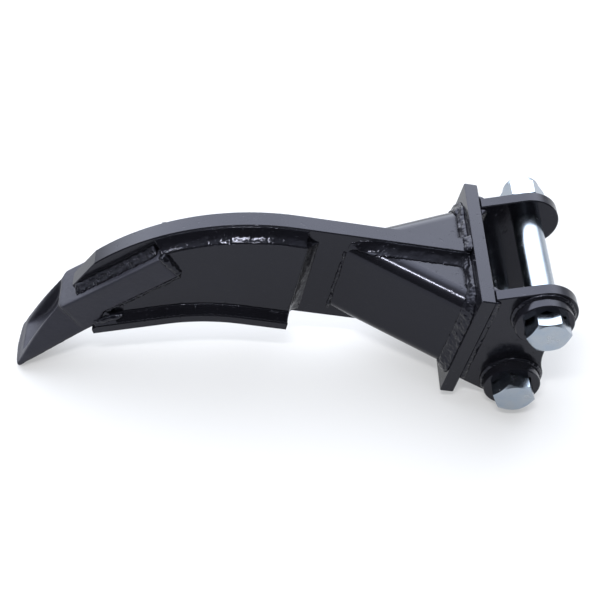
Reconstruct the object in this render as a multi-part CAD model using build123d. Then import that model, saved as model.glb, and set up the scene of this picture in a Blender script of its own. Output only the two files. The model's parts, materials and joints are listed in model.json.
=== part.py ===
from build123d import *
import os
from math import asin, atan, atan2, cos, degrees, hypot, radians, sin, tan

# Single-shank ripper attachment for a mini excavator, in millimetres.
#
# The weldment is drawn in the head plate's frame: x is normal to the plate, 0 on the face that
# carries the ears and positive towards the machine; y runs along the pins, 0 in the shank's mid
# plane and negative on the side of the bolt heads; z runs up the plate, 0 at its centre.
# stand() then turns everything into the part's own frame, +Z up, standing on the tooth's tip and
# the ears' lower lobes, with the origin on the arm pin's axis halfway between the ears.

# Head plate
PLATE_T, PLATE_W, PLATE_H = 12.0, 139.0, 118.0

# Ears and pins
PIN_D = 25.0
LINK_PIN = (44.8, 49.6)
ARM_PIN = (43.1, -31.1)
EAR_T = 11.0
EAR_GAP = 96.0
GAP_CENTRE_Y = -8.7
EAR_R = 27.3
EAR_TOP_Z, EAR_BOTTOM_Z = 61.0, -41.7
SCALLOP_R = 53.5
NEAR_BORE_D, FAR_BORE_D = 26.2, 22.5
PIN_PLAY = 0.1

# Collars with a hexagonal pocket, welded round the bolt holes
COLLAR_D, COLLAR_T, POCKET_AF = 48.4, 10.6, 33.0
COLLAR_SHIFT = {"link": (-1.6, -0.4), "arm": (0.0, -0.6)}
POCKET_TURN = {"link": 47.4, "arm": 51.5}

# Shouldered bolts, washers and nylon-insert nuts
SHOULDER_D, THREAD_D = 26.0, 21.8
HEAD_AF, HEAD_T = 32.0, 13.4
HEAD_TURN = {"link": 17.2, "arm": 2.0}
NUT_AF, NUT_HEX_T, NUT_T, NUT_BORE_D = 34.0, 18.5, 25.5, 22.0
NUT_TURN = {"link": 19.5, "arm": 44.0}
INSERT_D, INSERT_T, INSERT_BORE_D = 27.0, 4.5, 22.0
FLAT_WASHER_D, FLAT_WASHER_T = 44.0, 4.0
LOCK_WASHER_D, LOCK_WASHER_T, LOCK_SPLIT = 36.0, 4.2, 3.0
WASHER_BORE_D = 22.6
THREAD_TIP, THREAD_CHAMFER = 2.0, 1.5
HEX_FLAT_SHARE, HEX_CHAMFER = 0.475, 30.0
CROWN_ROUND, CROWN_LIP = 3.2, 1.5

# Shank: straight behind the plate, then curving down to the nose
SHANK_T = 16.0
SHANK_TOP_Z, TOP_BEND_X, TOP_R, TOP_SWEEP = 51.5, -160.0, 210.0, 49.2
SHANK_LOW_Z, LOW_BEND_X, LOW_R, LOW_SWEEP = -48.0, -190.0, 170.0, 22.0

# Tooth frame: 0 at the tail's upper corner, along the tooth towards its tip, and out of its top.
# Points of the side view are (along, out), and those with three numbers (along, side, out).
TOOTH_ORIGIN, TOOTH_DROP = (-267.4, 8.0), 45.0
TOOTH_HALF_W, TIP_HALF_W = 22.0, 24.3
TAIL_DEPTH, TAIL_END, TOP_FRONT = 24.8, 79.0, 108.0
TAIL_LOW, STRAP_LOW, BODY_LOW = (0, -TAIL_DEPTH), (TAIL_END, -TAIL_DEPTH), (92.0, -33.9)
RIDGE_MIDDLE, RIDGE_END = (143.0, -13.9), (182.0, -32.5)
TIP_TOP, TIP_LOW, TIP_BOW = (190.5, -35.4), (190.5, -38.0), 4.5
RIDGE_START, BREAK_LOW, SHOULDER_RUN = (109.6, 16.5, 0.0), (107.1, 22.0, -32.4), (4.1, 5.5)
FLANK_FLARE, FLANK_REACH = 0.036, 230.0
SCOOP_CENTRE, SCOOP_R = (167.0, 39.9), 69.8
SCOOP_HALF_BACK, SCOOP_HALF_FRONT, SCOOP_FLOOR_SHARE = 12.5, 21.5, 0.85
SLOT_CLEARANCE, SLOT_FLOOR = 0.3, 91.0
NOSE_END = (90.5, 4.6)

# Cheek plates and the wear strip
CHEEK_T, CHEEK_INSET, CHEEK_END_X = 10.0, 12.0, -150.0
CHEEK_TONGUE, CHEEK_GAP, STRIP_GAP = 77.0, 1.0, 0.2
STRIP_W, STRIP_T, STRIP_END_X, STRIP_NOSE = 50.0, 8.0, -148.5, 99.0

# Neck: two bent channels that widen from the shank to the plate
NECK_TIP_X, NECK_HALF_W, NECK_H, NECK_T, NECK_BEND_R = -115.0, 60.0, 86.0, 6.0, 14.0

# Weld beads
CHEEK_WELD, STRIP_WELD_UP, STRIP_WELD_OUT = 10.6, 10.0, 6.4
TOOTH_WELD, TOOTH_WELD_OUT, TAIL_WELD = 5.0, 9.0, 5.0
NECK_WELD_OUT, NECK_WELD_TOP_START, NECK_WELD_LOW_START = 11.0, -83.0, -60.0
PLATE_WELD, PLATE_WELD_LENGTH = 7.0, 8.0
EAR_WELD, COLLAR_WELD = 6.5, 3.0

EDGE = 0.8
HALF_T = SHANK_T / 2
PINS = {"link": LINK_PIN, "arm": ARM_PIN}
NEAR_IN = GAP_CENTRE_Y - EAR_GAP / 2
FAR_IN = GAP_CENTRE_Y + EAR_GAP / 2
NEAR_OUT, FAR_OUT = NEAR_IN - EAR_T, FAR_IN + EAR_T
HEAD_SEAT = NEAR_OUT - COLLAR_T
LOCK_SEAT = FAR_OUT + FLAT_WASHER_T
NUT_SEAT = LOCK_SEAT + LOCK_WASHER_T


def tooth_point(along, out):
    """A side-view point given in the tooth's frame."""
    c, s = cos(radians(TOOTH_DROP)), sin(radians(TOOTH_DROP))
    return (TOOTH_ORIGIN[0] - c * along - s * out, TOOTH_ORIGIN[1] - s * along + c * out)


def tooth_along(point):
    """How far along the tooth a side-view point lies."""
    c, s = cos(radians(TOOTH_DROP)), sin(radians(TOOTH_DROP))
    return (TOOTH_ORIGIN[0] - point[0]) * c + (TOOTH_ORIGIN[1] - point[1]) * s


def on_arc(centre, radius, angle):
    """A point on an arc, with the angle in degrees from straight up towards -x."""
    return (centre[0] - radius * sin(radians(angle)), centre[1] + radius * cos(radians(angle)))


def arc(centre, radius, start, end):
    """An arc between two angles from straight up towards -x."""
    middle = on_arc(centre, radius, (start + end) / 2)
    return ThreePointArc(on_arc(centre, radius, start), middle, on_arc(centre, radius, end))


TOP_CENTRE = (TOP_BEND_X, SHANK_TOP_Z - TOP_R)
LOW_CENTRE = (LOW_BEND_X, SHANK_LOW_Z - LOW_R)
LOW_DIRECTION = (-cos(radians(LOW_SWEEP)), -sin(radians(LOW_SWEEP)))


def low_line(along, drop=0.0):
    """The point of the shank's straight lower nose edge, or of a parallel drop below it,
    that lies this far along the tooth."""
    start = on_arc(LOW_CENTRE, LOW_R - drop, LOW_SWEEP)
    rate = LOW_DIRECTION[0] * -cos(radians(TOOTH_DROP)) + LOW_DIRECTION[1] * -sin(radians(TOOTH_DROP))
    step = (along - tooth_along(start)) / rate
    return (start[0] + step * LOW_DIRECTION[0], start[1] + step * LOW_DIRECTION[1])


def side_slab(edges, y_low, y_high):
    """A plate whose outline is drawn in the side view (x, z)."""
    face = Plane.XZ * make_face(edges)
    return Pos(0, y_high, 0) * extrude(face, y_high - y_low)


def tooth_slab(points, y_low, y_high):
    """A plate whose outline is a polygon in the tooth's frame."""
    return side_slab(Polyline(*[tooth_point(*p) for p in points], close=True), y_low, y_high)


def rod(x, z, y_low, y_high, diameter):
    """A round bar along y."""
    return Pos(x, (y_low + y_high) / 2, z) * Rot(90, 0, 0) * Cylinder(diameter / 2, y_high - y_low)


def hex_bar(x, z, y_low, y_high, across_flats, turn):
    """A hexagonal bar along y, with a corner at this angle above +x in the side view."""
    radius = across_flats / 2 / cos(radians(30))
    face = Pos(x, z) * Rot(0, 0, turn) * RegularPolygon(radius, 6)
    return Pos(0, y_high, 0) * extrude(Plane.XZ * face, y_high - y_low)


def both_sides(solid):
    """The solid on the bolt heads' side and its mirror image on the nuts' side."""
    return {"head_side": solid, "nut_side": mirror(solid, Plane.XZ)}


def bead(path, section):
    """A weld bead on the bolt heads' side of the shank, swept along a side-view path that starts
    towards -x. The section is drawn with x outwards from the mid plane and y upwards."""
    wire = Plane.XZ * path
    start = Plane(origin=wire @ 0, x_dir=(0, -1, 0), z_dir=wire % 0)
    return sweep(start * make_face(Polyline(*section, close=True)), path=wire)


def head_plate():
    plate = Pos(-PLATE_T / 2, 0, 0) * Box(PLATE_T, PLATE_W, PLATE_H)
    return chamfer(plate.edges(), EDGE)


def tangent_from(point, centre, radius, side):
    """Where the tangent from a point touches a circle, on its upper (1) or lower (-1) side."""
    dx, dz = centre[0] - point[0], centre[1] - point[1]
    reach = hypot(dx, dz)
    angle = atan2(dz, dx) + side * asin(radius / reach)
    length = (reach**2 - radius**2) ** 0.5
    return (point[0] + length * cos(angle), point[1] + length * sin(angle))


def scallop_points():
    """Where the concave arc between the lobes touches them, and its deepest point."""
    (x1, z1), (x2, z2) = LINK_PIN, ARM_PIN
    mid_x, mid_z = (x1 + x2) / 2, (z1 + z2) / 2
    half = hypot(x1 - x2, z1 - z2) / 2
    out = ((EAR_R + SCALLOP_R) ** 2 - half**2) ** 0.5
    nx, nz = (z1 - z2) / (2 * half), (x2 - x1) / (2 * half)
    cx, cz = mid_x + nx * out, mid_z + nz * out
    share = EAR_R / (EAR_R + SCALLOP_R)
    upper = (x1 + (cx - x1) * share, z1 + (cz - z1) * share)
    lower = (x2 + (cx - x2) * share, z2 + (cz - z2) * share)
    return upper, (cx - nx * SCALLOP_R, cz - nz * SCALLOP_R), lower


def ear(y_low, y_high, bore):
    """Two round lobes round the pins, joined by a concave arc and run back to the plate."""
    top, low = (0, EAR_TOP_Z), (0, EAR_BOTTOM_Z)
    top_touch = tangent_from(top, LINK_PIN, EAR_R, 1)
    low_touch = tangent_from(low, ARM_PIN, EAR_R, -1)
    upper, deepest, lower = scallop_points()
    edges = Line(low, top) + Line(top, top_touch)
    edges += ThreePointArc(top_touch, lobe_side(LINK_PIN, top_touch, upper), upper)
    edges += ThreePointArc(upper, deepest, lower)
    edges += ThreePointArc(lower, lobe_side(ARM_PIN, lower, low_touch), low_touch)
    edges += Line(low_touch, low)
    plate = side_slab(edges, y_low, y_high)
    rim = [e for e in plate.edges().filter_by_position(Axis.X, 0.1, 200) if e.length > 1]
    plate = chamfer([e for e in rim if abs(e.center().Y - (y_low + y_high) / 2) > 1], EDGE)
    for x, z in PINS.values():
        plate -= rod(x, z, y_low - 1, y_high + 1, bore)
    return plate


def lobe_side(centre, start, end):
    """The point of a lobe halfway between two of its points, on the side away from the plate."""
    x = (start[0] + end[0]) / 2 - centre[0]
    z = (start[1] + end[1]) / 2 - centre[1]
    reach = hypot(x, z)
    return (centre[0] + x / reach * EAR_R, centre[1] + z / reach * EAR_R)


def collar(name):
    """A ring with a hexagonal pocket on the outer face of the ear beside a bolt head."""
    x, z = PINS[name]
    dx, dz = COLLAR_SHIFT[name]
    ring = rod(x + dx, z + dz, HEAD_SEAT, NEAR_OUT, COLLAR_D)
    ring = chamfer(ring.edges(), EDGE)
    return ring - hex_bar(x + dx, z + dz, HEAD_SEAT - 1, NEAR_OUT + 1, POCKET_AF, POCKET_TURN[name])


def collar_weld(name):
    x, z = PINS[name]
    dx, dz = COLLAR_SHIFT[name]
    cone = Rot(90, 0, 0) * Cone(COLLAR_D / 2 + COLLAR_WELD, COLLAR_D / 2, COLLAR_WELD)
    ring = Pos(x + dx, NEAR_OUT - COLLAR_WELD / 2, z + dz) * cone
    return ring - rod(x + dx, z + dz, NEAR_OUT - 10, NEAR_OUT + 10, COLLAR_D)


def chamfered_hex(x, z, y_low, y_high, across_flats, turn, ends):
    """A hexagon bar along y whose corners are turned down by a cone at the given ends."""
    corner = across_flats / 2 / cos(radians(30))
    flat_r = HEX_FLAT_SHARE * across_flats
    rise = (corner + 1 - flat_r) * tan(radians(HEX_CHAMFER))
    bar = hex_bar(x, z, y_low, y_high, across_flats, turn)
    length = y_high - y_low
    blank = Cylinder(corner + 1, length - rise * len(ends))
    offset = 0.0
    if "low" in ends:
        blank += Pos(0, 0, (length - rise * len(ends)) / 2 + rise / 2) * Cone(corner + 1, flat_r, rise)
        offset += rise / 2
    if "high" in ends:
        blank += Pos(0, 0, -(length - rise * len(ends)) / 2 - rise / 2) * Cone(flat_r, corner + 1, rise)
        offset -= rise / 2
    return bar & (Pos(x, (y_low + y_high) / 2 + offset, z) * Rot(90, 0, 0) * blank)


def bolt(name):
    """Hexagon head, shoulder through the collar and near ear, pin between the ears, thread."""
    x, z = PINS[name]
    tip = NUT_SEAT + NUT_T + THREAD_TIP
    body = chamfered_hex(x, z, HEAD_SEAT - HEAD_T, HEAD_SEAT, HEAD_AF, HEAD_TURN[name], ["low"])
    body += rod(x, z, HEAD_SEAT, NEAR_IN, SHOULDER_D)
    body += rod(x, z, NEAR_IN, FAR_IN - PIN_PLAY, PIN_D)
    thread = rod(x, z, FAR_IN - PIN_PLAY, tip, THREAD_D)
    return body + chamfer(thread.edges().sort_by(Axis.Y)[-1], THREAD_CHAMFER)


def flat_washer(name):
    x, z = PINS[name]
    ring = chamfer(rod(x, z, FAR_OUT, LOCK_SEAT, FLAT_WASHER_D).edges(), 0.5)
    return ring - rod(x, z, FAR_OUT - 1, LOCK_SEAT + 1, WASHER_BORE_D)


def lock_washer(name):
    x, z = PINS[name]
    ring = rod(x, z, LOCK_SEAT, NUT_SEAT, LOCK_WASHER_D)
    ring -= rod(x, z, LOCK_SEAT - 1, NUT_SEAT + 1, WASHER_BORE_D)
    split = Pos(x, (LOCK_SEAT + NUT_SEAT) / 2, z + LOCK_WASHER_D / 2)
    return ring - split * Rot(0, 0, 20) * Box(LOCK_SPLIT, 3 * LOCK_WASHER_T, LOCK_WASHER_D / 2)


def nut(name):
    """Hexagon with a rounded collar that holds the nylon insert."""
    x, z = PINS[name]
    hexagon = chamfered_hex(x, z, NUT_SEAT, NUT_SEAT + NUT_HEX_T, NUT_AF, NUT_TURN[name], ["low", "high"])
    crown_r = HEX_FLAT_SHARE * NUT_AF
    crown = rod(x, z, NUT_SEAT + NUT_HEX_T - 0.5, NUT_SEAT + NUT_T, 2 * crown_r)
    crown = fillet(crown.edges().sort_by(Axis.Y)[-1], CROWN_ROUND)
    body = hexagon + crown
    pocket_end = NUT_SEAT + NUT_T - CROWN_LIP
    body -= rod(x, z, NUT_SEAT - 1, NUT_SEAT + NUT_T + 1, NUT_BORE_D)
    return body - rod(x, z, pocket_end - INSERT_T, pocket_end, INSERT_D)


def nut_insert(name):
    x, z = PINS[name]
    end = NUT_SEAT + NUT_T - CROWN_LIP
    return rod(x, z, end - INSERT_T, end, INSERT_D) - rod(x, z, end - 10, end + 1, INSERT_BORE_D)


def shank():
    nose_low = low_line(NOSE_END[0])
    low_end = on_arc(LOW_CENTRE, LOW_R, LOW_SWEEP)
    kink = on_arc(TOP_CENTRE, TOP_R, TOP_SWEEP)
    edges = Line((-PLATE_T, SHANK_TOP_Z), (TOP_BEND_X, SHANK_TOP_Z))
    edges += arc(TOP_CENTRE, TOP_R, 0, TOP_SWEEP)
    edges += Line(kink, tooth_point(*NOSE_END))
    edges += Line(tooth_point(*NOSE_END), nose_low)
    edges += Line(nose_low, low_end)
    edges += arc(LOW_CENTRE, LOW_R, LOW_SWEEP, 0)
    edges += Line((LOW_BEND_X, SHANK_LOW_Z), (-PLATE_T, SHANK_LOW_Z))
    edges += Line((-PLATE_T, SHANK_LOW_Z), (-PLATE_T, SHANK_TOP_Z))
    plate = side_slab(edges, -HALF_T, HALF_T)
    return chamfer([e for e in plate.edges() if along_top(e)], EDGE)


def along_top(edge):
    """Whether an edge of the shank runs along its upper outline."""
    middle = edge @ 0.5
    from_centre = hypot(middle.X - TOP_CENTRE[0], middle.Z - TOP_CENTRE[1])
    return edge.length > SHANK_T + 1 and from_centre > TOP_R - 8


def low_path(start_x, end_along, drop=0.0):
    """The shank's lower edge, or a parallel drop below it, from right to left."""
    end = on_arc(LOW_CENTRE, LOW_R - drop, LOW_SWEEP)
    path = Line((start_x, SHANK_LOW_Z - drop), (LOW_BEND_X, SHANK_LOW_Z - drop))
    path += arc(LOW_CENTRE, LOW_R - drop, 0, LOW_SWEEP)
    return path + Line(end, low_line(end_along, drop))


def wear_strip():
    """A flat bar bent along the shank's lower edge and welded under it."""
    path = low_path(STRIP_END_X, STRIP_NOSE)
    wire = Plane.XZ * path
    start = Plane(origin=wire @ 0, x_dir=(0, -1, 0), z_dir=wire % 0)
    bar = sweep(start * (Pos(0, -STRIP_T / 2) * Rectangle(STRIP_W, STRIP_T)), path=wire)
    bar -= tooth_room(STRIP_GAP)
    lower = [e for e in bar.edges() if e.length > STRIP_T + 5 and below_strip_middle(e @ 0.5)]
    return chamfer(lower, EDGE)


def below_strip_middle(point):
    """Whether a point of the wear strip lies on its lower face."""
    flat = point.X > LOW_BEND_X and point.Z < SHANK_LOW_Z - STRIP_T / 2
    return flat or hypot(point.X - LOW_CENTRE[0], point.Z - LOW_CENTRE[1]) < LOW_R - STRIP_T / 2


def tooth_room(gap):
    """The side-view space of the tooth's tail and body, grown by a gap, right through in y."""
    corners = [(-gap, 60), (-gap, -TAIL_DEPTH - gap), (TAIL_END - gap, -TAIL_DEPTH - gap)]
    corners += [(BODY_LOW[0], BODY_LOW[1] - gap), (TIP_LOW[0], TIP_LOW[1] - gap), (TIP_LOW[0], 60)]
    return tooth_slab(corners, -60, 60)


def cheek():
    """A side plate on the bolt heads' side, inset from the shank's top, cut round the tooth."""
    radius = TOP_R - CHEEK_INSET
    top_z = SHANK_TOP_Z - CHEEK_INSET
    left = on_arc(TOP_CENTRE, radius, TOP_SWEEP)
    low_end = on_arc(LOW_CENTRE, LOW_R, LOW_SWEEP)
    nose = low_line(CHEEK_TONGUE + 20)
    edges = Line((CHEEK_END_X, top_z), (TOP_BEND_X, top_z)) + arc(TOP_CENTRE, radius, 0, TOP_SWEEP)
    edges += Line(left, nose) + Line(nose, low_end) + arc(LOW_CENTRE, LOW_R, LOW_SWEEP, 0)
    edges += Line((LOW_BEND_X, SHANK_LOW_Z), (CHEEK_END_X, SHANK_LOW_Z))
    edges += Line((CHEEK_END_X, SHANK_LOW_Z), (CHEEK_END_X, top_z))
    plate = side_slab(edges, -HALF_T - CHEEK_T, -HALF_T)
    tongue_end = tooth_slab([(CHEEK_TONGUE, 80), (CHEEK_TONGUE, -80), (250, -80), (250, 80)], -60, 60)
    return plate - tooth_room(CHEEK_GAP) - tongue_end


def cheek_weld():
    """Beads along the cheek's upper edge and its end."""
    radius = TOP_R - CHEEK_INSET
    top_z = SHANK_TOP_Z - CHEEK_INSET
    path = Line((CHEEK_END_X, top_z), (TOP_BEND_X, top_z)) + arc(TOP_CENTRE, radius, 0, TOP_SWEEP)
    top = bead(path, [(HALF_T, 0), (HALF_T + CHEEK_T, 0), (HALF_T, CHEEK_WELD)])
    corner = [(HALF_T, 0), (HALF_T + CHEEK_T, 0), (HALF_T, CHEEK_WELD)]
    face = Plane.XY * make_face(Polyline(*[(CHEEK_END_X + b, -a) for a, b in corner], close=True))
    end = Pos(0, 0, SHANK_LOW_Z + 4) * extrude(face, top_z - SHANK_LOW_Z - 4)
    return [top - tooth_room(CHEEK_GAP), end]


def strip_weld():
    """The bead between the cheek's face and the wear strip, and its end round the tooth's body."""
    inner = HALF_T + CHEEK_T
    section = [(inner, 0), (inner + STRIP_WELD_OUT, 0), (inner, STRIP_WELD_UP)]
    long_bead = bead(low_path(STRIP_END_X, CHEEK_TONGUE), section) - tooth_room(CHEEK_GAP)
    start, end = CHEEK_TONGUE, STRIP_NOSE - 3
    corners = [low_line(start), low_line(end), tooth_point(end, -20), tooth_point(start, -20)]
    toe = side_slab(Polyline(*corners, close=True), -TOOTH_HALF_W, -HALF_T) - tooth_room(STRIP_GAP)
    rise = [(TOOTH_HALF_W, 0), (inner + STRIP_WELD_OUT, 0), (TOOTH_HALF_W, STRIP_WELD_UP - 1)]
    return [long_bead, toe, bead(Line(low_line(start), low_line(end)), rise)]


def tooth():
    """A forged tooth: two straps astride the shank's nose, and a blade that narrows to its upper
    ridges, with a deep scoop between them and a slightly rounded cutting edge."""
    edges = Polyline(*[tooth_point(*p) for p in (TAIL_LOW, (0, 0), (TOP_FRONT, 0))])
    edges += ThreePointArc(*[tooth_point(*p) for p in ((TOP_FRONT, 0), RIDGE_MIDDLE, RIDGE_END)])
    underside = (RIDGE_END, TIP_TOP, TIP_LOW, BODY_LOW, STRAP_LOW, TAIL_LOW)
    edges += Polyline(*[tooth_point(*p) for p in underside])
    body = side_slab(edges, -TIP_HALF_W, TIP_HALF_W) & tooth_plan()
    slot_half = HALF_T + SLOT_CLEARANCE
    body -= tooth_slab([(-1, 60), (SLOT_FLOOR, 60), (SLOT_FLOOR, -60), (-1, -60)], -slot_half, slot_half)
    flank = blade_flank()
    return body - [flank, mirror(flank, Plane.XZ)] - scoop()


def tooth_plane(along, out):
    """A plane across the tooth, with x outwards on the bolt heads' side and y out of its top."""
    origin, ahead = tooth_point(along, out), tooth_point(along + 1, out)
    return Plane(origin=(origin[0], 0, origin[1]), x_dir=(0, -1, 0),
                 z_dir=(ahead[0] - origin[0], 0, ahead[1] - origin[1]))


def tooth_section(points, out):
    """A face across the tooth's depth: each point is (along, distance towards the bolt heads)."""
    frame = tooth_plane(0, out)
    plan = Plane(origin=frame.origin, x_dir=frame.z_dir, z_dir=frame.y_dir)
    return plan * make_face(Polyline(*[(along, -side) for along, side in points], close=True))


def tooth_plan():
    """The tooth's outline seen from above, as a prism through its depth."""
    frame = tooth_plane(0, -60)
    plan = Plane(origin=frame.origin, x_dir=frame.z_dir, z_dir=frame.y_dir)
    corner = TIP_TOP[0] - TIP_BOW
    outline = Polyline((corner, -TIP_HALF_W), (TOP_FRONT, -TOOTH_HALF_W), (-1, -TOOTH_HALF_W),
                       (-1, TOOTH_HALF_W), (TOP_FRONT, TOOTH_HALF_W), (corner, TIP_HALF_W))
    outline += ThreePointArc((corner, TIP_HALF_W), (TIP_TOP[0], 0), (corner, -TIP_HALF_W))
    return extrude(plan * make_face(outline), 140)


def blade_flank():
    """The wedge cut off the blade on one side: its flank leans in from the lower edge to the ridge,
    and a shoulder facet runs out from the flank to the body's full width."""
    sections = []
    for out in (10.0, -50.0):
        share = (out - RIDGE_START[2]) / (BREAK_LOW[2] - RIDGE_START[2])
        along = RIDGE_START[0] + share * (BREAK_LOW[0] - RIDGE_START[0])
        side = RIDGE_START[1] + share * (BREAK_LOW[1] - RIDGE_START[1])
        back = (along - 4 * SHOULDER_RUN[0], side + 4 * SHOULDER_RUN[1])
        far_side = side + FLANK_FLARE * (FLANK_REACH - along)
        outline = [(along, side), back, (FLANK_REACH, back[1]), (FLANK_REACH, far_side)]
        sections.append(tooth_section(outline, out))
    return loft(sections, ruled=True)


def scoop():
    """The hollow between the blade's ridges: a cylinder's surface with leaning side walls."""
    centre = tooth_point(*SCOOP_CENTRE)
    cut = rod(*centre, -TIP_HALF_W, TIP_HALF_W, 2 * SCOOP_R)
    reach = SCOOP_CENTRE[0] + 2 * SCOOP_R
    corners = [(0, SCOOP_HALF_BACK), (0, -SCOOP_HALF_BACK)]
    corners += [(reach, -SCOOP_HALF_FRONT), (reach, SCOOP_HALF_FRONT)]
    floor = [(along, side * SCOOP_FLOOR_SHARE) for along, side in corners]
    room = loft([tooth_section(floor, -40), tooth_section(corners, 5)], ruled=True)
    return cut & room


def neck_wedge(wall_in, z_half, radius, reach):
    """A solid wedge inside the neck's slanted wall, with its long edges rounded."""
    slope = (NECK_HALF_W - HALF_T) / (-PLATE_T - NECK_TIP_X)
    inset = wall_in / cos(atan(slope))
    def wall_y(x):
        return HALF_T + (x - NECK_TIP_X) * slope - inset
    x_tip = NECK_TIP_X + (inset - reach) / slope
    x_end = -PLATE_T + reach
    outline = [(x_tip, -wall_y(x_tip)), (x_end, -wall_y(x_end)), (x_end, -wall_y(x_tip))]
    wedge = extrude(Plane.XY.offset(-z_half) * make_face(Polyline(*outline, close=True)), 2 * z_half)
    wall = wedge.faces().sort_by(Axis.Y)[0]
    long_edges = [e for e in wall.edges() if abs(abs(e.center().Z) - z_half) < 0.1]
    return fillet(long_edges, radius)


def neck_channel():
    """One bent channel on the bolt heads' side: a slanted wall and two flanges."""
    outer = neck_wedge(0, NECK_H / 2, NECK_BEND_R, 0)
    inner = neck_wedge(NECK_T, NECK_H / 2 - NECK_T, NECK_BEND_R - NECK_T, 8)
    return outer - inner


def neck_weld():
    """Beads between the channel's flanges and the shank's side, above and below."""
    solids = []
    for start, low, high in ((NECK_WELD_TOP_START, NECK_H / 2, SHANK_TOP_Z - 1),
                             (NECK_WELD_LOW_START, -NECK_H / 2, SHANK_LOW_Z + 0.5)):
        section = [(-HALF_T, low), (-HALF_T - NECK_WELD_OUT, low), (-HALF_T, high)]
        face = Plane.YZ * make_face(Polyline(*section, close=True))
        length = -PLATE_T - PLATE_WELD_LENGTH - start
        solids.append(Pos(start, 0, 0) * extrude(face, length))
    return solids


def plate_weld():
    """The bead round the neck and over the shank where they meet the head plate."""
    half = NECK_HALF_W + PLATE_WELD
    outline = RectangleRounded(2 * half, NECK_H + 2 * PLATE_WELD, NECK_BEND_R + PLATE_WELD)
    face = Plane(origin=(-PLATE_T, 0, 0), x_dir=(0, 1, 0), z_dir=(-1, 0, 0)) * outline
    blank = extrude(face, PLATE_WELD_LENGTH, taper=degrees(atan(10.2 / PLATE_WELD_LENGTH)))
    wedge = neck_wedge(0, NECK_H / 2, NECK_BEND_R, 0)
    blank -= [wedge, mirror(wedge, Plane.XZ)]
    blank -= Box(400, SHANK_T, 400)
    cap_section = [(-PLATE_T, SHANK_TOP_Z), (-PLATE_T - 6, SHANK_TOP_Z), (-PLATE_T, SHANK_TOP_Z + 6)]
    cap = side_slab(Polyline(*cap_section, close=True), -HALF_T, HALF_T)
    return blank.solids() + cap.solids()


def tooth_weld():
    """The bead where the shank's side meets the strap's top, and those round the strap's tail."""
    top = make_face(Polyline((HALF_T, 0), (HALF_T + TOOTH_WELD_OUT, 0), (HALF_T, TOOTH_WELD), close=True))
    face_y = HALF_T + CHEEK_T
    tail = make_face(Polyline((face_y, 0), (TOOTH_HALF_W, 0), (face_y, -TAIL_WELD), close=True))
    corner = tooth_plane(0, 0)
    downwards = Plane(origin=corner.origin, x_dir=corner.x_dir, z_dir=corner.y_dir * -1)
    return [extrude(tooth_plane(3, 0) * top, NOSE_END[0] - 5),
            extrude(tooth_plane(0, -TAIL_DEPTH) * tail, TAIL_END - 2),
            extrude(downwards * tail, TAIL_DEPTH)]


def ear_welds(ear_low, ear_high, outer_leg):
    """Beads along both faces of an ear where it stands on the head plate."""
    length = EAR_TOP_Z - EAR_BOTTOM_Z - 4
    solids = []
    for y, way, leg in ((ear_low, -1, outer_leg[0]), (ear_high, 1, outer_leg[1])):
        face = make_face(Polyline((0, y), (EAR_WELD, y), (0, y + way * leg), close=True))
        solids.append(extrude(Plane.XY.offset(EAR_BOTTOM_Z + 2) * face, length))
    return solids


def stand():
    """The turn and shift from the head plate's frame to the part's own."""
    x, z = tooth_point(*TIP_LOW)
    dx, dz = x - ARM_PIN[0], z - ARM_PIN[1]
    tilt = degrees(atan2(-dz, -dx) - asin(EAR_R / hypot(dx, dz)))
    return Rot(0, tilt, 0) * Pos(-ARM_PIN[0], -GAP_CENTRE_Y, -ARM_PIN[1])


def nodes():
    found = {"head_plate": head_plate(), "shank": shank(), "wear_strip": wear_strip(), "tooth": tooth()}
    found["ear_head_side"] = ear(NEAR_OUT, NEAR_IN, NEAR_BORE_D)
    found["ear_nut_side"] = ear(FAR_IN, FAR_OUT, FAR_BORE_D)
    for side, solid in both_sides(cheek()).items():
        found[f"cheek_plate_{side}"] = solid
    for side, solid in both_sides(neck_channel()).items():
        found[f"neck_channel_{side}"] = solid
    for name in PINS:
        found[f"{name}_collar"] = collar(name)
        found[f"{name}_bolt"] = bolt(name)
        found[f"{name}_flat_washer"] = flat_washer(name)
        found[f"{name}_lock_washer"] = lock_washer(name)
        found[f"{name}_nut"] = nut(name)
        found[f"{name}_nut_insert"] = nut_insert(name)
        found[f"{name}_collar_weld"] = collar_weld(name)
    near_margin = PLATE_W / 2 + NEAR_OUT - 0.2
    found["ear_weld_head_side"] = Compound(ear_welds(NEAR_OUT, NEAR_IN, (near_margin, EAR_WELD)))
    found["ear_weld_nut_side"] = Compound(ear_welds(FAR_IN, FAR_OUT, (EAR_WELD, EAR_WELD)))
    found["plate_weld"] = Compound(plate_weld())
    beads = {"cheek_weld": cheek_weld(), "strip_weld": strip_weld(), "tooth_weld": tooth_weld()}
    beads["neck_weld"] = neck_weld()
    for name, solids in beads.items():
        found[f"{name}_head_side"] = Compound(solids)
        found[f"{name}_nut_side"] = Compound([mirror(s, Plane.XZ) for s in solids])
    return found


def main():
    os.makedirs("parts", exist_ok=True)
    place = stand()
    for name, solid in nodes().items():
        export_step(place * solid, f"parts/{name}.step")


main()
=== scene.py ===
import json
import math
import random

import bmesh
import bpy
import numpy as np
from mathutils import Matrix, Vector, noise
from mathutils.bvhtree import BVHTree

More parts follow.
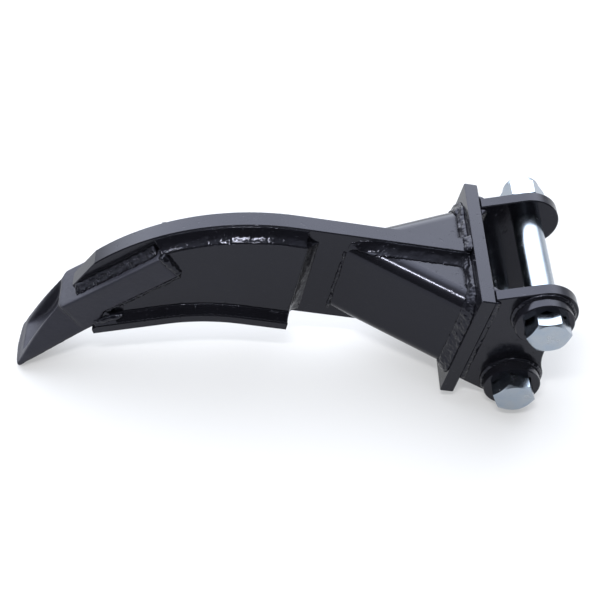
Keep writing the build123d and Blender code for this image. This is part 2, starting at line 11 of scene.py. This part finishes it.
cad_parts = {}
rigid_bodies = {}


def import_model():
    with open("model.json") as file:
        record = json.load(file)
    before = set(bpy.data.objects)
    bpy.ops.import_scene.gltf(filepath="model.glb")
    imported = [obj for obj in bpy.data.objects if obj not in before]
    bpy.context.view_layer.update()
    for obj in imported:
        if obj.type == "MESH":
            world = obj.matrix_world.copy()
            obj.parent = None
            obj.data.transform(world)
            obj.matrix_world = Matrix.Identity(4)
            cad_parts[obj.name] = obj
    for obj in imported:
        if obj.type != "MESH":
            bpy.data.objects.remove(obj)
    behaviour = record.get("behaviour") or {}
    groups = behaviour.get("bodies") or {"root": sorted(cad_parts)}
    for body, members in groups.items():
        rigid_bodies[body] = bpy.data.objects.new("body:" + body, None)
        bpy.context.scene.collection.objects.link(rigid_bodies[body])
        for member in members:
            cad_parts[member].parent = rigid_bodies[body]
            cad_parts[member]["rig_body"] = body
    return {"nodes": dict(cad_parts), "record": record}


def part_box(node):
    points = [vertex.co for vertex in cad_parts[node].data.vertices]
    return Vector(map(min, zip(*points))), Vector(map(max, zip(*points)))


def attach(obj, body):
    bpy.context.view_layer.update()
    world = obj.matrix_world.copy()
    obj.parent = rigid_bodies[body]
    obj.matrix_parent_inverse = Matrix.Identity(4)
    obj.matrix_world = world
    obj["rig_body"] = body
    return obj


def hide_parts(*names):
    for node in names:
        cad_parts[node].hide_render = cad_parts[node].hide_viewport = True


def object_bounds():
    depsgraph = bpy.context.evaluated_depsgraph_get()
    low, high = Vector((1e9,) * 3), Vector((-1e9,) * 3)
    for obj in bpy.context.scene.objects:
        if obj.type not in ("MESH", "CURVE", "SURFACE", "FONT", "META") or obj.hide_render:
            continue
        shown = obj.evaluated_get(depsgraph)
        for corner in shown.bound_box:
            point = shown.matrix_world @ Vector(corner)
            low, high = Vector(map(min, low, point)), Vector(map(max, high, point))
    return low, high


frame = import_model()
CAD_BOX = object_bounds()

# Pin-on ripper: looks. Everything is in metres, in the part's own frame, except that the weldment's
# shapes are worked out in the head plate's frame, in millimetres: x normal to the plate and 0 on the
# face that carries the ears, y along the pins and 0 in the shank's mid plane, z up the plate.

MM = 0.001
SIDES = (("head_side", -1), ("nut_side", 1))
ARM_PIN, LINK_PIN = (43.1, -31.1), (44.8, 49.6)
GAP_CENTRE_Y = -8.7
MOUNTS = {m["name"]: m["pos_m"] for m in frame["record"]["mounts"]}
LINK_AT = MOUNTS["link_pin"]
TILT = math.atan2(LINK_AT[0], LINK_AT[2]) - math.atan2(LINK_PIN[0] - ARM_PIN[0], LINK_PIN[1] - ARM_PIN[1])

# Beads and the tooth's skin
BEAD_VOXEL, SMALL_BEAD_VOXEL, BEAD_SIDES = 0.7, 0.5, 12
SMALL_BEAD_RISE, SMALL_BEAD_ROUNDS, TOOTH_ROUNDS = 0.2, 2, 9
RIPPLE_PITCH, RIPPLE_WANDER = 3.4, 2.2
COARSE_LUMP, FINE_LUMP = 6.0, 2.4
TOOTH_WAVE, TOOTH_GRAIN = 14.0, 3.0

# Threads on the hitch bolts: where they start along the pin's axis, and a flat-crested profile
THREAD_START, THREAD_R, THREAD_PITCH, THREAD_DEPTH = 60.0, 10.9, 2.5, 1.4
THREAD_LEAD, THREAD_SIDES, THREAD_LEVELS, THREAD_OVERLAP = 1.5, 72, 10, 0.2
FLANK_SLOPE, CREST_FLAT, CRISP_ANGLE = 2.6, 0.15, 25

# Curves of the weldment, in the head plate's frame
TOP_BEND_X, TOP_R, SHANK_TOP_Z = -160.0, 210.0, 51.5
LOW_BEND_X, LOW_R, SHANK_LOW_Z = -190.0, 170.0, -48.0
TOOTH_ORIGIN, TOOTH_DROP = (-267.4, 8.0), math.radians(45)
SHANK_HALF, CHEEK_END_X = 8.0, -149.5
NECK_HALF_Y, NECK_HALF_Z, NECK_WELD_DROP, FAR_WELD_SLOPE = 60, 43, 0.8, 1.15
NECK_SIDE_SHIFT, COLLAR_WELD_R = 200, 25.0

# Camera: its place in metres, and its angles in degrees
CAMERA_AT = (-0.1859, -0.7315, 0.8559)
AZIMUTH, ELEVATION, ROLL = 0.508, 48.166, 0.866
FOCAL_MM, SENSOR_MM = 75.9, 36.0

# Floor, and lamps that stand in one row beside the part and face it, in metres
FLOOR_HALF, FLOOR_CELLS = 9.0, 8
LAMP_Y, LAMP_Z, LAMP_AIM = -0.60, 1.20, (-0.2, 0, 0)
SKY_TOWARD = (-0.10, 0.72, 0.68)


def to_plate(points):
    """Points in metres in the part's frame to millimetres in the head plate's frame."""
    p = np.asarray(points, float) / MM
    c, s = math.cos(TILT), math.sin(TILT)
    x = p[:, 0] * c - p[:, 2] * s + ARM_PIN[0]
    z = p[:, 0] * s + p[:, 2] * c + ARM_PIN[1]
    return np.stack([x, p[:, 1] + GAP_CENTRE_Y, z], 1)


def from_plate(x, y, z):
    """A point in millimetres in the head plate's frame to metres in the part's frame."""
    c, s = math.cos(TILT), math.sin(TILT)
    dx, dz = x - ARM_PIN[0], z - ARM_PIN[1]
    return Vector((dx * c + dz * s, y - GAP_CENTRE_Y, -dx * s + dz * c)) * MM


def keep_below(mesh, top_z, slope):
    """Presses a mesh down to a height in the head plate's frame, lower away from the shank's side."""
    c, s = math.cos(TILT), math.sin(TILT)
    co = vertices(mesh)
    p = to_plate(co)
    limit = top_z - slope * np.maximum(np.abs(p[:, 1]) - SHANK_HALF, 0)
    excess = np.maximum(p[:, 2] - limit, 0) * MM
    move(mesh, co - np.stack([excess * s, excess * 0, excess * c], 1))


# ---------------------------------------------------------------- node graphs

class Graph:
    """Short calls for a material's or the world's node tree."""

    def __init__(self, tree):
        self.tree = tree
        tree.nodes.clear()

    def add(self, kind, inputs=None, **settings):
        node = self.tree.nodes.new(kind)
        for name, value in settings.items():
            setattr(node, name, value)
        for name, value in (inputs or {}).items():
            if isinstance(value, bpy.types.NodeSocket):
                self.tree.links.new(value, node.inputs[name])
            else:
                node.inputs[name].default_value = value
        return node

    def math(self, operation, a, b):
        return self.add("ShaderNodeMath", {0: a, 1: b}, operation=operation).outputs[0]

    def noise(self, where, scale, detail, rough):
        inputs = {"Vector": where, "Scale": scale, "Detail": detail, "Roughness": rough}
        return self.add("ShaderNodeTexNoise", inputs).outputs["Fac"]

    def remap(self, value, low, high, to_low=0.0, to_high=1.0):
        inputs = {"Value": value, "From Min": low, "From Max": high, "To Min": to_low, "To Max": to_high}
        return self.add("ShaderNodeMapRange", inputs, clamp=True).outputs["Result"]

    def mix(self, factor, a, b):
        node = self.add("ShaderNodeMix", data_type="RGBA")
        for name, value in (("Factor", factor), ("A", a), ("B", b)):
            socket = [i for i in node.inputs if i.name == name and i.enabled][0]
            if isinstance(value, bpy.types.NodeSocket):
                self.tree.links.new(value, socket)
            else:
                socket.default_value = value
        return [o for o in node.outputs if o.enabled][0]

    def bump(self, height, strength, distance, normal=None):
        inputs = {"Height": height, "Strength": strength, "Distance": distance}
        if normal:
            inputs["Normal"] = normal
        return self.add("ShaderNodeBump", inputs).outputs["Normal"]

    def where(self):
        return self.add("ShaderNodeTexCoord").outputs["Object"]

    def upward(self):
        normal = self.add("ShaderNodeNewGeometry").outputs["Normal"]
        return self.add("ShaderNodeSeparateXYZ", {"Vector": normal}).outputs["Z"]


def material(name, build):
    """A material whose one shader is filled in by build(graph, shader)."""
    made = bpy.data.materials.new(name)
    made.use_nodes = True
    graph = Graph(made.node_tree)
    shader = graph.add("ShaderNodeBsdfPrincipled")
    build(graph, shader)
    out = graph.add("ShaderNodeOutputMaterial")
    made.node_tree.links.new(shader.outputs[0], out.inputs["Surface"])
    return made


def connect(graph, shader, **sockets):
    """Links or sets the shader's sockets, named with _ for each space."""
    for name, value in sockets.items():
        socket = shader.inputs[name.replace("_", " ")]
        if isinstance(value, bpy.types.NodeSocket):
            graph.tree.links.new(value, socket)
        else:
            socket.default_value = value


def black_enamel(rough_low, rough_high, grain_scale, grain_height, painted_top_light, base):
    """Gloss black enamel: orange peel, mill scale showing through, and a pale blue-grey painted sheen on
    whatever faces up, which lightens top faces as light from above would."""
    def build(graph, shader):
        where = graph.where()
        broad = graph.noise(where, 22.0, 4.0, 0.6)
        fine = graph.noise(where, grain_scale, 3.0, 0.6)
        peel = graph.noise(where, 650.0, 2.0, 0.5)
        pits = graph.remap(graph.noise(where, 240.0, 2.0, 0.5), 0.66, 0.74)
        # painted light: faces that look up are mixed toward pale blue-grey, a painted sheen standing in for
        # the bright sky they reflect
        up = graph.remap(graph.upward(), 0.35, 1.0, 0.0, painted_top_light)
        painted_top_film = graph.math("MULTIPLY", up, graph.remap(broad, 0.25, 0.8, 0.55, 1.15))
        dark = graph.mix(broad, (base, base, base * 1.3, 1), (base * 1.9, base * 1.9, base * 2.7, 1))
        colour = graph.mix(painted_top_film, dark, (0.30, 0.31, 0.37, 1))
        wear = graph.math("ADD", fine, graph.math("MULTIPLY", broad, 0.6))
        rough = graph.remap(wear, 0.45, 1.15, rough_low, rough_high)
        skin = graph.bump(peel, 0.10, 0.0002)
        skin = graph.bump(fine, 0.35, grain_height, skin)
        skin = graph.bump(graph.math("MULTIPLY", pits, -1.0), 0.5, 0.0002, skin)
        connect(graph, shader, Base_Color=colour, Roughness=rough, Normal=skin, Specular_IOR_Level=0.29,
                Specular_Tint=(0.80, 0.82, 1.0, 1))
    return build


def bright_zinc(stain):
    """Bright zinc plate: fine lines along the pins, cloudy roughness and colour, and dark specks."""
    def build(graph, shader):
        where = graph.where()
        lines = graph.add("ShaderNodeMapping", {"Vector": where, "Scale": (1.0, 0.06, 1.0)}).outputs[0]
        scratch = graph.noise(lines, 1500.0, 2.0, 0.6)
        cloud = graph.noise(where, 90.0, 4.0, 0.6)
        specks = graph.remap(graph.noise(where, 700.0, 2.0, 0.6), 0.68, 0.75)
        tint = graph.mix(graph.remap(cloud, 0.35, 0.7), (0.29, 0.34, 0.40, 1), (0.34, 0.37, 0.40, 1))
        colour = graph.mix(graph.math("MULTIPLY", specks, stain), tint, (0.16, 0.16, 0.17, 1))
        rough = graph.remap(cloud, 0.3, 0.75, 0.16, 0.30)
        skin = graph.bump(scratch, 0.12, 0.0001)
        skin = graph.bump(cloud, 0.2, 0.0002, skin)
        connect(graph, shader, Base_Color=colour, Roughness=rough, Normal=skin, Metallic=1.0)
    return build


def nylon(graph, shader):
    cloud = graph.noise(graph.where(), 300.0, 3.0, 0.6)
    colour = graph.mix(cloud, (0.78, 0.78, 0.74, 1), (0.88, 0.88, 0.85, 1))
    connect(graph, shader, Base_Color=colour, Roughness=0.42, Normal=graph.bump(cloud, 0.2, 0.0002),
            Subsurface_Weight=0.15, Subsurface_Scale=0.002)


def pale_floor(graph, shader):
    cloud = graph.noise(graph.where(), 3.0, 3.0, 0.5)
    colour = graph.mix(cloud, (0.34, 0.34, 0.34, 1), (0.36, 0.36, 0.36, 1))
    connect(graph, shader, Base_Color=colour, Roughness=0.9, Specular_IOR_Level=0.0,
            Emission_Color=(1, 1, 1, 1), Emission_Strength=0.35)


# The fifth number is how strongly upward faces are painted lighter, a painted sheen of top light
PAINT = material("black_enamel_plate", black_enamel(0.09, 0.20, 320.0, 0.00008, 0.02, 0.003))
FORGED = material("black_enamel_forging", black_enamel(0.36, 0.50, 180.0, 0.0003, 0.05, 0.009))
WELD = material("black_enamel_weld", black_enamel(0.04, 0.12, 700.0, 0.00022, 0.0, 0.003))
ZINC = material("bright_zinc", bright_zinc(0.25))
PIN_ZINC = material("bright_zinc_stained", bright_zinc(0.7))
NYLON = material("natural_nylon", nylon)
FLOOR = material("pale_floor", pale_floor)


# ---------------------------------------------------------------- pieces

def mesh_copy(node, name):
    """A separate copy of a CAD node's mesh, with no modifiers."""
    piece = bpy.data.objects.new(name, frame["nodes"][node].data.copy())
    bpy.context.scene.collection.objects.link(piece)
    return piece


def apply_modifiers(piece):
    """Gives a piece the mesh that its modifiers make, and clears them."""
    bpy.context.view_layer.update()
    graph = bpy.context.evaluated_depsgraph_get()
    mesh = bpy.data.meshes.new_from_object(piece.evaluated_get(graph))
    piece.modifiers.clear()
    piece.data = mesh


def remesh(piece, voxel):
    """Rebuilds a closed mesh from cubes of a size in millimetres."""
    modifier = piece.modifiers.new("remesh", "REMESH")
    modifier.mode = "VOXEL"
    modifier.voxel_size = voxel * MM
    apply_modifiers(piece)


def vertices(mesh):
    co = np.zeros(len(mesh.vertices) * 3)
    mesh.vertices.foreach_get("co", co)
    return co.reshape(-1, 3)


def normals(mesh):
    n = np.zeros(len(mesh.vertices) * 3)
    mesh.vertices.foreach_get("normal", n)
    return n.reshape(-1, 3)


def move(mesh, co):
    mesh.vertices.foreach_set("co", co.ravel())
    mesh.update()


def relax(mesh, rounds):
    """Evens out a mesh by moving each point to the mean of its neighbours."""
    edges = np.zeros(len(mesh.edges) * 2, np.int64)
    mesh.edges.foreach_get("vertices", edges)
    a, b = edges.reshape(-1, 2).T
    count = np.bincount(a, minlength=len(mesh.vertices)) + np.bincount(b, minlength=len(mesh.vertices))
    co = vertices(mesh)
    for _ in range(rounds):
        total = np.stack([np.bincount(a, co[b, k], len(co)) + np.bincount(b, co[a, k], len(co))
                          for k in range(3)], 1)
        co = total / np.maximum(count, 1)[:, None]
    move(mesh, co)


def lumps(points, size, seed):
    """Smooth noise, about -1 to 1, at points in millimetres."""
    shift = Vector((seed * 7.3, seed * 3.1, seed * 5.7))
    return np.array([noise.noise(Vector(p) / size + shift) for p in points])


def swell(mesh, height):
    """Moves each point out along its normal by its height in millimetres."""
    move(mesh, vertices(mesh) + normals(mesh) * np.asarray(height)[:, None] * MM)


def finish_piece(piece, body, slot, made, *replaced):
    """Gives a piece its material and its body, and hides the CAD nodes that it stands for. The slot is not
    used.
    """
    piece.data.materials.clear()
    piece.data.materials.append(made)
    piece.data.shade_smooth()
    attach(piece, body)
    if replaced:
        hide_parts(*replaced)


def shade_by_angle(mesh, degrees):
    """Smooth shading, with edges sharper than an angle kept crisp."""
    bm = bmesh.new()
    bm.from_mesh(mesh)
    for edge in bm.edges:
        edge.smooth = len(edge.link_faces) == 2 and edge.calc_face_angle(0) < math.radians(degrees)
    for face in bm.faces:
        face.smooth = True
    bm.to_mesh(mesh)
    bm.free()


def new_piece(name, bm):
    mesh = bpy.data.meshes.new(name)
    bm.to_mesh(mesh)
    bm.free()
    piece = bpy.data.objects.new(name, mesh)
    bpy.context.scene.collection.objects.link(piece)
    return piece


def close_rings(bm, rings):
    """Joins rings of points into one closed skin, capped at both ends."""
    for last, ring in zip(rings, rings[1:]):
        for k in range(len(ring)):
            bm.faces.new((last[k], last[k - 1], ring[k - 1], ring[k]))
    bm.faces.new(rings[0])
    bm.faces.new(rings[-1][::-1])
    bmesh.ops.recalc_face_normals(bm, faces=bm.faces)


# Distance along each bead, in millimetres, from points in the head plate's frame

def along_top(p):
    turn = np.arctan2(TOP_BEND_X - p[:, 0], p[:, 2] - (SHANK_TOP_Z - TOP_R))
    return np.where(p[:, 0] > TOP_BEND_X, TOP_BEND_X - p[:, 0], turn * (TOP_R - 10))


def along_low(p):
    turn = np.arctan2(LOW_BEND_X - p[:, 0], p[:, 2] - (SHANK_LOW_Z - LOW_R))
    return np.where(p[:, 0] > LOW_BEND_X, LOW_BEND_X - p[:, 0], turn * LOW_R)


def along_tooth(p):
    dx, dz = p[:, 0] - TOOTH_ORIGIN[0], p[:, 2] - TOOTH_ORIGIN[1]
    forward = -dx * math.cos(TOOTH_DROP) - dz * math.sin(TOOTH_DROP)
    out = -dx * math.sin(TOOTH_DROP) + dz * math.cos(TOOTH_DROP)
    return np.where(forward < 0, out, forward)


def up_plate(p):
    return p[:, 2]


def across_plate(p):
    return p[:, 0]


def cheek_run(p):
    return np.where(p[:, 0] > CHEEK_END_X, p[:, 2], along_top(p))


def round_neck(p):
    """Across the plate above and below the neck, and up it at the neck's sides."""
    above_or_below = np.abs(p[:, 2]) * NECK_HALF_Y > np.abs(p[:, 1]) * NECK_HALF_Z
    return np.where(above_or_below, p[:, 1] + NECK_SIDE_SHIFT, p[:, 2])


def round_pin(pin):
    """The run round the collar on a pin."""
    def run(p):
        return np.arctan2(p[:, 2] - pin[1], p[:, 0] - pin[0]) * COLLAR_WELD_R
    return run


def lay(piece, run, seed, rise, ripple, coarse, fine, hollow=None):
    """Turns a smooth bead into a hand-laid one: ripples across its run, and lumps of two sizes. Hollow
    is where a fillet starts and ends across the plates, and how deep its face is dished."""
    mesh = piece.data
    p = to_plate(vertices(mesh))
    phase = run(p) + RIPPLE_WANDER * lumps(p, COARSE_LUMP, seed)
    height = rise + ripple * np.sin(phase * 2 * math.pi / RIPPLE_PITCH)
    height += coarse * lumps(p, COARSE_LUMP, seed + 1) + fine * lumps(p, FINE_LUMP, seed + 2)
    if hollow:
        near, far, depth = hollow
        share = np.clip((np.abs(p[:, 1]) - near) / (far - near), 0, 1)
        height -= 4 * depth * share * (1 - share)
    swell(mesh, height)


def add_run_out(mesh, stations):
    """Adds a bead with a three-cornered section: each station is (x, y, low z, high z, leg along y)."""
    bm = bmesh.new()
    bm.from_mesh(mesh)
    rings = []
    for x, y, low, high, leg in stations:
        corners = ((x, y, low), (x, y + leg, low), (x, y, high))
        rings.append([bm.verts.new(from_plate(*corner)) for corner in corners])
    close_rings(bm, rings)
    bm.to_mesh(mesh)
    bm.free()


def weld_piece(node, run, seed, rounds, rise, ripple, coarse, fine, hollow=None, stations=()):
    """A bead made from the plain CAD fillet, with a tapered run-out where the fillet ends square."""
    piece = mesh_copy(node, node + "_bead")
    for run_out in stations:
        add_run_out(piece.data, run_out)
    remesh(piece, BEAD_VOXEL)
    relax(piece.data, rounds)
    lay(piece, run, seed, rise, ripple, coarse, fine, hollow)
    if node.startswith("neck_weld"):
        slope = FAR_WELD_SLOPE if node.endswith("nut_side") else 0.0
        keep_below(piece.data, SHANK_TOP_Z - NECK_WELD_DROP, slope)
    finish_piece(piece, frame["nodes"][node]["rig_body"], "weld_paint", WELD, node)
    bead_pieces[node] = piece


def extra_bead(name, seed, path, ripple, coarse, fine):
    """A round bead along a path of (x, y, z, radius) in the head plate's frame."""
    bm = bmesh.new()
    rings = []
    for index, (x, y, z, radius) in enumerate(path):
        before, after = path[max(index - 1, 0)], path[min(index + 1, len(path) - 1)]
        ahead = (from_plate(*after[:3]) - from_plate(*before[:3])).normalized()
        turn = ahead.to_track_quat("Z", "Y").to_matrix().to_4x4()
        place = Matrix.Translation(from_plate(x, y, z)) @ turn
        angles = [2 * math.pi * k / BEAD_SIDES for k in range(BEAD_SIDES)]
        rings.append([bm.verts.new(place @ Vector((radius * MM * math.cos(a), radius * MM * math.sin(a), 0)))
                      for a in angles])
    close_rings(bm, rings)
    piece = new_piece(name, bm)
    remesh(piece, SMALL_BEAD_VOXEL)
    relax(piece.data, SMALL_BEAD_ROUNDS)
    lay(piece, up_plate, seed, SMALL_BEAD_RISE, ripple, coarse, fine)
    finish_piece(piece, "ripper", "weld_paint", WELD)


# Each bead's finished piece, which the spatter lands on
bead_pieces = {}

# run, seed, smoothing rounds, rise, ripple, coarse lumps, fine lumps, hollow
BEADS = {
    "cheek_weld": (cheek_run, 10, 3, 0.50, 0.02, 0.30, 0.12, (8, 18, 1.3)),
    "strip_weld": (along_low, 20, 3, 0.40, 0.02, 0.20, 0.08, (18, 24.4, 0.5)),
    "tooth_weld": (along_tooth, 30, 3, 0.60, 0.06, 0.80, 0.60, None),
    "neck_weld": (across_plate, 40, 4, 0.50, 0.03, 0.50, 0.10, (8, 19, 1.4)),
    "ear_weld": (up_plate, 50, 4, 0.50, 0.08, 0.70, 0.20, None),
}


def run_outs(name, way):
    """Where a bead of the given name thins out, or runs on, instead of ending square."""
    if name == "neck_weld":
        tip = [(-114, way * 7, 36, 44, way * 2), (-106, way * 7, 39, 48, way * 7),
               (-96, way * 7, 41.5, 50, way * 11), (-82, way * 7, 43, 50.5, way * 12.5)]
        plate = [(-21, way * 7, 42.5, 50.5, way * 12), (-12.5, way * 7, 42, 51, way * 14)]
        return [tip, plate]
    return []


for name, (run, seed, *shape) in BEADS.items():
    for side, way in SIDES:
        weld_piece(f"{name}_{side}", run, seed + way, *shape, stations=run_outs(name, way))
weld_piece("plate_weld", round_neck, 71, 6, 0.7, 0.02, 1.1, 0.5)
weld_piece("link_collar_weld", round_pin(LINK_PIN), 81, 2, 0.35, 0.06, 0.45, 0.20)
weld_piece("arm_collar_weld", round_pin(ARM_PIN), 91, 2, 0.35, 0.06, 0.45, 0.20)

# Lumps of weld beside the tooth's straps: (x, y, z, radius) in the head plate's frame. The nut side's
# tail is the smaller one.
TOE_BLOB = [(-313, 21, -82, 1.6), (-308.6, 21.5, -77.5, 2.8), (-302, 21.5, -73, 3.4), (-296, 21, -70, 3.4),
            (-289, 20.5, -67, 2.4)]
TAIL_BLOB = [(-266, 18.5, 9, 3.4), (-262, 19, 5.5, 4.2), (-257, 19, 0.5, 3.8), (-251, 18.5, -5.5, 2.4)]
rng = random.Random(3)
for side, way in SIDES:
    tip = [(-115 - rng.uniform(0, 1.2), way * SHANK_HALF, z, rng.uniform(0.9, 1.6))
           for z in range(-38, 37, 5)]
    extra_bead(f"neck_tip_bead_{side}", 101 + way, tip, 0.1, 0.6, 0.5)
    first, size = (0, 1.0) if side == "head_side" else (1, 0.6)
    tail = [(x, way * y, z, size * radius) for x, y, z, radius in TAIL_BLOB[first:]]
    extra_bead(f"tail_bead_{side}", 121 + way, tail, 0.05, 0.8, 0.2)
    toe = [(x, way * y, z, radius) for x, y, z, radius in TOE_BLOB]
    extra_bead(f"toe_bead_{side}", 131 + way, toe, 0.05, 0.8, 0.2)


# Drops beside each bead
SPATTER = {"cheek_weld": 130, "strip_weld": 60, "tooth_weld": 220, "neck_weld": 80, "ear_weld": 24}


def spatter():
    """Small frozen drops on the beads and on the plates beside them."""
    rng = random.Random(7)
    plates = ["shank", "head_plate", "wear_strip"]
    plates += [f"{name}_{side}" for name in ("cheek_plate", "neck_channel", "ear") for side, _ in SIDES]
    seats, faces = [], []
    for piece in [frame["nodes"][name] for name in plates] + list(bead_pieces.values()):
        start = len(seats)
        seats.extend(tuple(v.co) for v in piece.data.vertices)
        faces.extend([start + i for i in face.vertices] for face in piece.data.polygons)
    skin = BVHTree.FromPolygons(seats, faces)
    bm = bmesh.new()
    for name, count in SPATTER.items():
        for side, _ in SIDES:
            points = bead_pieces[f"{name}_{side}"].data.vertices
            for _ in range(count):
                drop(bm, rng, skin, points[rng.randrange(len(points))].co)
    piece = new_piece("weld_spatter", bm)
    finish_piece(piece, "ripper", "weld_paint", WELD)


def drop(bm, rng, skin, near):
    """One flattened drop on the skin, a little way from a point."""
    shift = Vector([rng.gauss(0, 1.6) * MM for _ in range(3)])
    at, normal, _, _ = skin.find_nearest(near + shift)
    radius = rng.uniform(0.35, 0.85) * MM
    turn = normal.to_track_quat("Z", "Y").to_matrix().to_4x4()
    scale = Matrix.Diagonal((1, rng.uniform(0.8, 1.3), 0.55, 1))
    place = Matrix.Translation(at) @ turn @ scale
    bmesh.ops.create_icosphere(bm, subdivisions=2, radius=radius, matrix=place)


spatter()


def forged_tooth():
    """The tooth with rounded edges and a forging's uneven skin."""
    piece = mesh_copy("tooth", "forged_tooth")
    remesh(piece, BEAD_VOXEL)
    relax(piece.data, TOOTH_ROUNDS)
    p = to_plate(vertices(piece.data))
    swell(piece.data, 0.12 + 0.16 * lumps(p, TOOTH_WAVE, 5) + 0.05 * lumps(p, TOOTH_GRAIN, 6))
    finish_piece(piece, "ripper", "tooth_paint", FORGED, "tooth")


forged_tooth()


def thread_radius(y, share, end):
    """The thread's radius in millimetres, at a height and a share of the turn round the axis."""
    phase = (y / (THREAD_PITCH * MM) + share) % 1
    depth = THREAD_DEPTH * min(max(FLANK_SLOPE * abs(phase - 0.5) - CREST_FLAT, 0), 1)
    lead_in = max(y / MM - (end / MM - THREAD_LEAD), 0)
    return THREAD_R - max(depth, lead_in)


def threaded_bolt(name):
    """The bolt with its plain end cut off and a rolled right-hand thread in its place."""
    piece = mesh_copy(f"{name}_bolt", f"{name}_bolt_threaded")
    start, end = THREAD_START * MM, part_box(f"{name}_bolt")[1][1]
    bm = bmesh.new()
    bm.from_mesh(piece.data)
    bmesh.ops.remove_doubles(bm, verts=bm.verts, dist=1e-6)
    cut = bmesh.ops.bisect_plane(bm, geom=bm.verts[:] + bm.edges[:] + bm.faces[:],
                                 plane_co=(0, start, 0), plane_no=(0, 1, 0), clear_outer=True)
    rim = [edge for edge in cut["geom_cut"] if isinstance(edge, bmesh.types.BMEdge)]
    bmesh.ops.edgeloop_fill(bm, edges=rim)
    axis = MOUNTS[f"{name}_pin"]
    step = THREAD_PITCH * MM / THREAD_LEVELS
    rings = []
    for y in np.append(np.arange(start - THREAD_OVERLAP * MM, end, step), end):
        ring = []
        for k in range(THREAD_SIDES):
            radius = thread_radius(y, k / THREAD_SIDES, end) * MM
            angle = 2 * math.pi * k / THREAD_SIDES
            ring.append(bm.verts.new((axis[0] + radius * math.cos(angle), y,
                                      axis[2] + radius * math.sin(angle))))
        rings.append(ring)
    close_rings(bm, rings)
    bm.to_mesh(piece.data)
    bm.free()
    finish_piece(piece, f"{name}_bolt", "zinc", PIN_ZINC, f"{name}_bolt")
    shade_by_angle(piece.data, CRISP_ANGLE)


for name in ("link", "arm"):
    threaded_bolt(name)

SLOT_MATERIAL = {"black_paint": PAINT, "tooth_paint": FORGED, "weld_paint": WELD, "zinc": ZINC,
                 "nylon": NYLON}
slots = {part["node"]: part["material_slot"] for part in frame["record"]["subparts"]}
for node, piece in frame["nodes"].items():
    made = PIN_ZINC if node.endswith("_bolt") else SLOT_MATERIAL[slots[node]]
    for slot in piece.material_slots:
        slot.material = made

# ---------------------------------------------------------------- floor, light and camera


def floor():
    mesh = bpy.data.meshes.new("floor")
    bm = bmesh.new()
    bmesh.ops.create_grid(bm, x_segments=FLOOR_CELLS, y_segments=FLOOR_CELLS, size=FLOOR_HALF)
    bm.to_mesh(mesh)
    bm.free()
    made = bpy.data.objects.new("floor", mesh)
    made.location = (0, 0, CAD_BOX[0][2])
    mesh.materials.append(FLOOR)
    bpy.context.scene.collection.objects.link(made)


def studio():
    """A bright sky behind and above, and a dark front, as in a tent lit from the back."""
    world = bpy.data.worlds.new("studio")
    world.use_nodes = True
    bpy.context.scene.world = world
    graph = Graph(world.node_tree)
    toward = graph.add("ShaderNodeTexCoord").outputs["Generated"]
    dot = graph.add("ShaderNodeVectorMath", {0: toward, 1: SKY_TOWARD}, operation="DOT_PRODUCT")
    low = graph.remap(dot.outputs["Value"], -0.1, 0.45, 0.10, 1.0)
    high = graph.remap(dot.outputs["Value"], 0.60, 0.85, 0.0, 4.6)
    strength = graph.math("ADD", low, high)
    sky = graph.add("ShaderNodeBackground", {"Color": (0.88, 0.92, 1.0, 1), "Strength": strength})
    out = graph.add("ShaderNodeOutputWorld")
    world.node_tree.links.new(sky.outputs[0], out.inputs["Surface"])


def softbox(name, x, size, power):
    """A rectangular lamp in the row beside the part."""
    at = (x, LAMP_Y, LAMP_Z)
    light = bpy.data.lights.new(name, "AREA")
    light.shape, light.energy = "RECTANGLE", power
    light.size, light.size_y = size
    made = bpy.data.objects.new(name, light)
    made.location = at
    made.rotation_euler = (Vector(LAMP_AIM) - Vector(at)).to_track_quat("-Z", "Y").to_euler()
    bpy.context.scene.collection.objects.link(made)


def camera():
    data = bpy.data.cameras.new("camera")
    data.lens, data.sensor_width = FOCAL_MM, SENSOR_MM
    made = bpy.data.objects.new("camera", data)
    heading = Matrix.Rotation(math.radians(-AZIMUTH), 4, "Z")
    tilt = Matrix.Rotation(math.radians(90 - ELEVATION), 4, "X")
    roll = Matrix.Rotation(math.radians(-ROLL), 4, "Z")
    made.matrix_world = Matrix.Translation(CAMERA_AT) @ heading @ tilt @ roll
    bpy.context.scene.collection.objects.link(made)
    bpy.context.scene.camera = made


floor()
studio()
softbox("strip_box", -0.25, (0.34, 0.05), 9.0)
for index, x in enumerate((-1.6, -1.1)):
    softbox(f"small_box_{index}", x, (0.05, 0.05), 1.5)
camera()
bpy.context.scene.view_settings.view_transform = "Standard"
